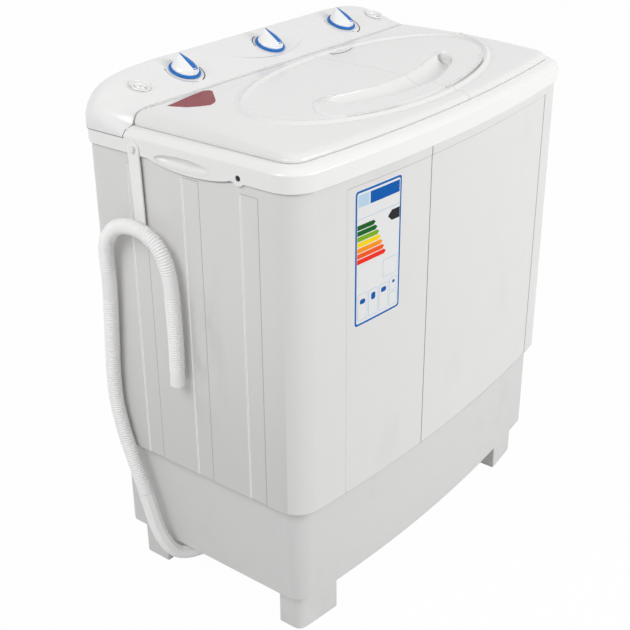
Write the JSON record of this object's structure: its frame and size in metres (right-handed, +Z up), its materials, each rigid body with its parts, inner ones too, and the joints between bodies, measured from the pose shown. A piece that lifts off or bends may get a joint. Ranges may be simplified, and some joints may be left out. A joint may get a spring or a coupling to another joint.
{
  "type": "semi-automatic washing machine",
  "caption": "Semi-automatic washing machine: pulsator wash tub, spin basket, hinged lids, turning control knobs and a drain hose.",
  "frame": {"origin": "on the floor under the middle of the machine's width and depth, the drain hose left out", "axes": "+Z up; -Y towards the bowed front; -X towards the wash tub and the drain hose"},
  "size_m": [0.8045, 0.453, 0.8911],
  "materials": {
    "gloss_white": "glossy white moulding",
    "body_plastic": "satin off-white moulding",
    "base_plastic": "fine-grained light grey-white moulding",
    "tub_plastic": "smooth white moulding",
    "hose_plastic": "satin off-white",
    "knob_plastic": "semi-gloss blue",
    "inner_plastic": "plain grey moulding",
    "black_plastic": "black moulding",
    "motor_metal": "plain casing",
    "steel": "plain steel",
    "rubber": "black rubber",
    "black_steel": "black screw head"
  },
  "bodies": {
    "cabinet": {"base_moulding": "base_plastic", "foot_front_left": "base_plastic", "foot_front_right": "base_plastic", "foot_rear_left": "base_plastic", "foot_rear_right": "base_plastic", "cabinet_shell": "body_plastic", "rear_cover": "body_plastic", "top_frame": "gloss_white", "rim_screw_left": "black_steel", "rim_screw_right": "black_steel", "control_panel": "gloss_white", "wash_timer": "inner_plastic", "selector_switch": "inner_plastic", "spin_timer": "inner_plastic", "wash_inlet": "gloss_white", "spin_inlet": "gloss_white", "wash_inlet_duct": "tub_plastic", "spin_inlet_duct": "tub_plastic", "wash_lid_rod": "steel", "spin_lid_rod": "steel", "safety_cover_rod": "steel", "wash_tub": "tub_plastic", "pulsator_bearing": "motor_metal", "drive_belt": "rubber", "wash_motor": "motor_metal", "wash_motor_bracket": "steel", "lint_filter": "knob_plastic", "overflow_cover": "tub_plastic", "spin_tub": "tub_plastic", "spin_boot": "rubber", "spin_motor": "motor_metal", "spin_motor_mount": "steel", "motor_spring_1": "rubber", "motor_spring_2": "rubber", "motor_spring_3": "rubber", "drain_valve_body": "inner_plastic", "tub_drain_duct": "rubber", "spin_drain_duct": "rubber", "drain_elbow": "hose_plastic", "drain_hose": "hose_plastic", "hose_hanger": "hose_plastic", "motor_capacitor": "inner_plastic", "cord_gland": "black_plastic"},
    "wash_lid": {"wash_lid": "gloss_white"},
    "spin_lid": {"spin_lid": "gloss_white"},
    "safety_cover": {"spin_safety_cover": "tub_plastic"},
    "wash_timer_knob": {"wash_timer_knob": "knob_plastic"},
    "selector_knob": {"selector_knob": "knob_plastic"},
    "spin_timer_knob": {"spin_timer_knob": "knob_plastic"},
    "pulsator": {"pulsator": "tub_plastic", "pulsator_shaft": "steel", "pulsator_pulley": "tub_plastic"},
    "wash_drive": {"motor_pulley": "steel", "wash_motor_shaft": "steel"},
    "spin_basket": {"spin_basket": "tub_plastic", "spin_shaft": "steel", "brake_drum": "motor_metal"},
    "brake_lever": {"brake_lever": "steel"},
    "drain_plunger": {"drain_plunger": "inner_plastic"}
  },
  "joints": [
    {"name": "wash_lid_hinge", "type": "hinge", "parent": "cabinet", "child": "wash_lid", "pos_m": [0, 0.1217, 0.8402], "axis": [-1, 0, 0], "range_deg": [0, 100]},
    {"name": "spin_lid_hinge", "type": "hinge", "parent": "cabinet", "child": "spin_lid", "pos_m": [0, 0.1217, 0.8402], "axis": [-1, 0, 0], "range_deg": [0, 100]},
    {"name": "safety_cover_hinge", "type": "hinge", "parent": "cabinet", "child": "safety_cover", "pos_m": [0.205, 0.0985, 0.8278], "axis": [-1, 0, 0], "range_deg": [0, 85]},
    {"name": "wash_timer_turn", "type": "hinge", "parent": "cabinet", "child": "wash_timer_knob", "pos_m": [-0.199, 0.177, 0.86361], "axis": [0, 0.3389, -0.9408], "range_deg": [0, 300]},
    {"name": "selector_turn", "type": "hinge", "parent": "cabinet", "child": "selector_knob", "pos_m": [0.013, 0.177, 0.86361], "axis": [0, 0.3389, -0.9408], "range_deg": [0, 180]},
    {"name": "spin_timer_turn", "type": "hinge", "parent": "cabinet", "child": "spin_timer_knob", "pos_m": [0.218, 0.177, 0.86361], "axis": [0, 0.3389, -0.9408], "range_deg": [0, 300]},
    {"name": "pulsator_turn", "type": "hinge", "parent": "cabinet", "child": "pulsator", "pos_m": [-0.16, -0.0325, 0.281], "axis": [0, 0, 1], "continuous": true},
    {"name": "wash_drive_turn", "type": "hinge", "parent": "cabinet", "child": "wash_drive", "pos_m": [0, -0.0325, 0.281], "axis": [0, 0, 1], "continuous": true},
    {"name": "spin_basket_turn", "type": "hinge", "parent": "cabinet", "child": "spin_basket", "pos_m": [0.205, -0.033, 0.352], "axis": [0, 0, 1], "continuous": true},
    {"name": "brake_lever_pivot", "type": "hinge", "parent": "cabinet", "child": "brake_lever", "pos_m": [0.269, -0.073, 0.255], "axis": [0, 0, 1], "range_deg": [0, 3]},
    {"name": "drain_plunger_lift", "type": "slide", "parent": "cabinet", "child": "drain_plunger", "axis": [0, 0, 1], "range_m": [0, 0.01]}
  ],
  "couplings": [
    {"joint": "safety_cover_hinge", "follows": "spin_lid_hinge", "ratio": 0.85},
    {"joint": "brake_lever_pivot", "follows": "spin_lid_hinge", "ratio": 0.03},
    {"joint": "wash_drive_turn", "follows": "pulsator_turn", "ratio": 3.4211},
    {"joint": "drain_plunger_lift", "follows": "selector_turn", "m_per_rad": 0.003183}
  ]
}
